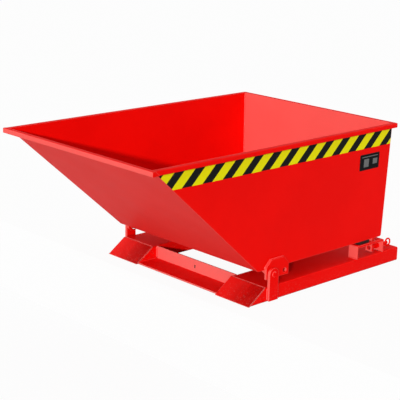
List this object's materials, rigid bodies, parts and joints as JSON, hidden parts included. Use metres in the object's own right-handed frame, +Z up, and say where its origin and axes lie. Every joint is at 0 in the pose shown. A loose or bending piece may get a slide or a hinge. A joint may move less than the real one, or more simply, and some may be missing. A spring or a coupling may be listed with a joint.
{
  "type": "forklift tipping skip",
  "caption": "Open steel hopper with a sloped front and pouring lip that tips forward on side pivots, carried by a base frame with rectangular fork pockets and a sliding lock bolt.",
  "frame": {"origin": "on the ground under the middle of the overall length and width", "axes": "+Z up, the pouring lip faces -Y, the forks enter from +Y, +X is the side with the lock bolt"},
  "size_m": [0.942, 1.49, 0.648],
  "materials": {
    "body_paint": "glossy red powder coat on folded sheet",
    "frame_paint": "glossy red powder coat on tube and flat bar",
    "fitting_paint": "red paint, rubbed bright where pieces slide",
    "zinc_steel": "zinc plated",
    "buffer_rubber": "matt moulded rubber",
    "marking_tape": "satin film with slanting black stripes",
    "plate_black": "satin black, bare"
  },
  "bodies": {
    "base_frame": {"bolt_guide_bush": "fitting_paint", "cotter_pins": "zinc_steel", "fork_tube_left": "frame_paint", "fork_tube_right": "frame_paint", "front_cross_angle": "frame_paint", "nose_plate_left": "frame_paint", "nose_plate_right": "frame_paint", "pivot_pin_left": "fitting_paint", "pivot_pin_right": "fitting_paint", "pivot_upright_left": "frame_paint", "pivot_upright_right": "frame_paint", "pivot_washers": "zinc_steel", "rear_bracket_left": "frame_paint", "rear_bracket_right": "frame_paint", "rear_cross_bar": "frame_paint", "rest_buffer_left": "buffer_rubber", "rest_buffer_right": "buffer_rubber"},
    "skip": {"front_lip": "body_paint", "hazard_tape_left": "marking_tape", "hazard_tape_right": "marking_tape", "lock_keeper": "body_paint", "lug_gusset_left": "body_paint", "lug_gusset_right": "body_paint", "pivot_lug_left": "body_paint", "pivot_lug_right": "body_paint", "rating_plate": "plate_black", "rim_left": "body_paint", "rim_rear": "body_paint", "rim_right": "body_paint", "side_sheet_left": "body_paint", "side_sheet_right": "body_paint", "wrap_sheet": "body_paint"},
    "lock_bolt": {"bolt_stop_pin": "fitting_paint", "lock_bolt": "fitting_paint", "pull_ring": "fitting_paint"}
  },
  "joints": [
    {"name": "skip_tip", "type": "hinge", "parent": "base_frame", "child": "skip", "pos_m": [0, -0.078, 0.116], "axis": [1, 0, 0], "range_deg": [0, 60]},
    {"name": "lock_bolt_slide", "type": "slide", "parent": "base_frame", "child": "lock_bolt", "axis": [0, -1, 0], "range_m": [0, 0.022]}
  ]
}
